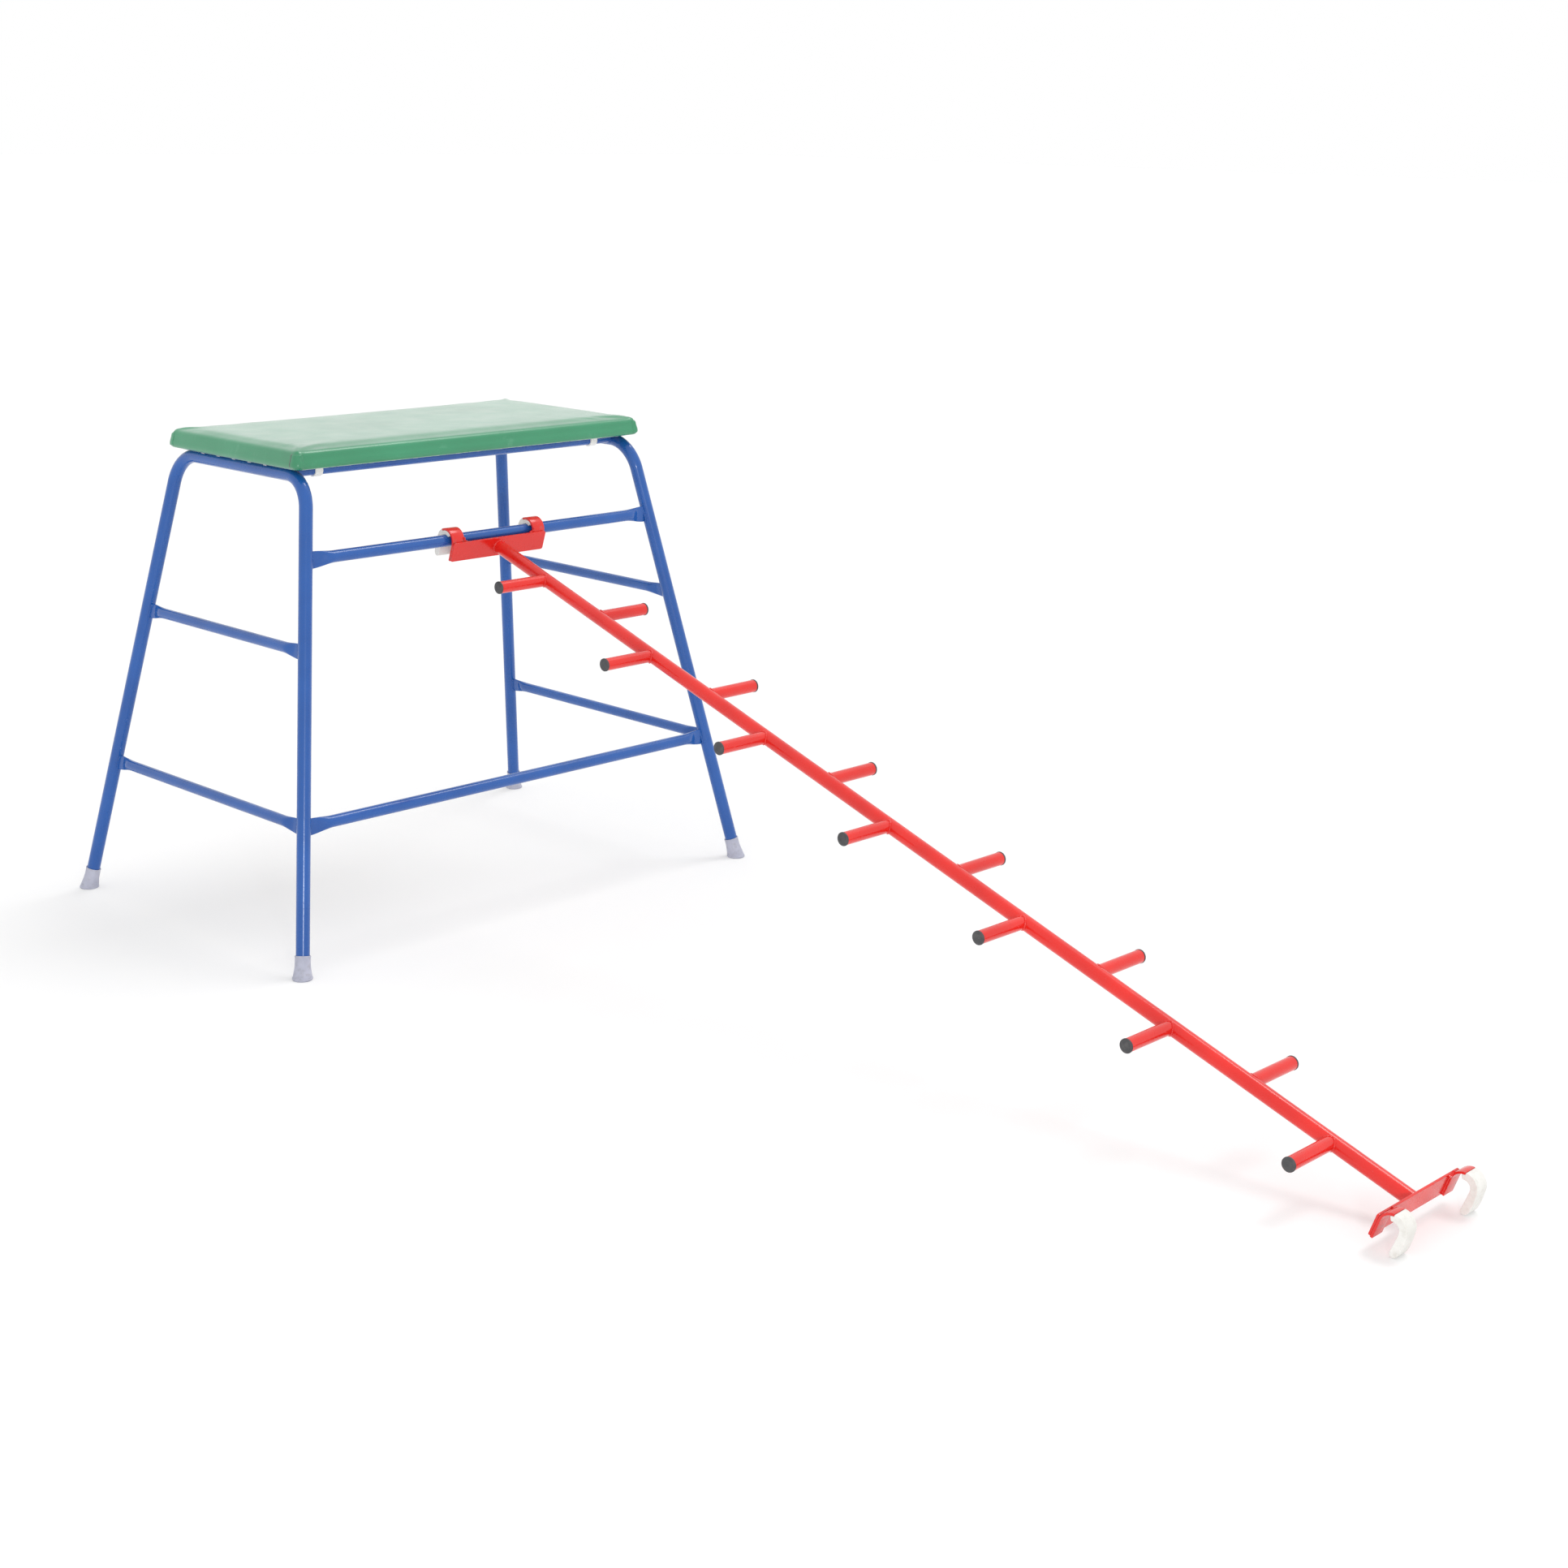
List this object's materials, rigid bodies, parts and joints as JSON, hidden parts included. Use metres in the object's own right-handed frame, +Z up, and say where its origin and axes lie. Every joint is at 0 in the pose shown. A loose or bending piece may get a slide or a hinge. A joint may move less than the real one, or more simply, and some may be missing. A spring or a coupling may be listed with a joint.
{
  "type": "activity table with hook-on ladder",
  "caption": "Padded tube-frame activity table with a single-pole ladder hooked over its front rail and resting on the floor; the ladder swings about the rail.",
  "frame": {"origin": "middle of the whole object's footprint, on the floor, with the ladder hooked on and its far hooks on the floor", "axes": "+X along the table's long side and its rails; +Y across the table, from the ladder's far end towards the table's open back; +Z up"},
  "size_m": [1.125, 2.6956, 0.9147],
  "materials": {
    "blue_paint": "glossy blue powder coat",
    "red_paint": "glossy red powder coat",
    "ferrule_rubber": "grey rubber, satin",
    "green_vinyl": "smooth vinyl-coated cloth with a soft sheen",
    "foam": "open-cell upholstery foam",
    "plywood": "bare plywood",
    "clip_nylon": "moulded nylon",
    "liner_nylon": "off-white nylon, lightly scuffed",
    "black_cap": "black moulded plastic",
    "steel": "zinc-plated steel"
  },
  "bodies": {
    "table": {"end_frame_left": "blue_paint", "end_frame_right": "blue_paint", "hooking_rail": "blue_paint", "lower_rail": "blue_paint", "upper_bar_left": "blue_paint", "upper_bar_right": "blue_paint", "lower_bar_left": "blue_paint", "lower_bar_right": "blue_paint", "top_rail_front": "blue_paint", "top_rail_back": "blue_paint", "ferrule_left_front": "ferrule_rubber", "ferrule_right_front": "ferrule_rubber", "ferrule_left_back": "ferrule_rubber", "ferrule_right_back": "ferrule_rubber", "top_board": "plywood", "pad_foam": "foam", "vinyl_cover": "green_vinyl", "cover_staples": "steel", "clip_left_front": "clip_nylon", "clip_right_front": "clip_nylon", "clip_left_back": "clip_nylon", "clip_right_back": "clip_nylon", "clip_screws": "steel"},
    "ladder": {"ladder_pole": "red_paint", "rung_1": "red_paint", "rung_2": "red_paint", "rung_3": "red_paint", "rung_4": "red_paint", "rung_5": "red_paint", "rung_6": "red_paint", "rung_7": "red_paint", "rung_8": "red_paint", "rung_9": "red_paint", "rung_10": "red_paint", "rung_11": "red_paint", "rung_12": "red_paint", "rung_13": "red_paint", "rung_cap_1": "black_cap", "rung_cap_2": "black_cap", "rung_cap_3": "black_cap", "rung_cap_4": "black_cap", "rung_cap_5": "black_cap", "rung_cap_6": "black_cap", "rung_cap_7": "black_cap", "rung_cap_8": "black_cap", "rung_cap_9": "black_cap", "rung_cap_10": "black_cap", "rung_cap_11": "black_cap", "rung_cap_12": "black_cap", "rung_cap_13": "black_cap", "upper_crossbar": "red_paint", "upper_hook_straps": "red_paint", "upper_liner_left": "liner_nylon", "upper_liner_right": "liner_nylon", "lower_crossbar": "red_paint", "lower_hook_straps": "red_paint", "lower_liner_left": "liner_nylon", "lower_liner_right": "liner_nylon"}
  },
  "joints": [
    {"name": "ladder_hinge", "type": "hinge", "parent": "table", "child": "ladder", "pos_m": [0.01, 0.73817, 0.723], "axis": [-1, 0, 0], "range_deg": [0, 108]}
  ]
}
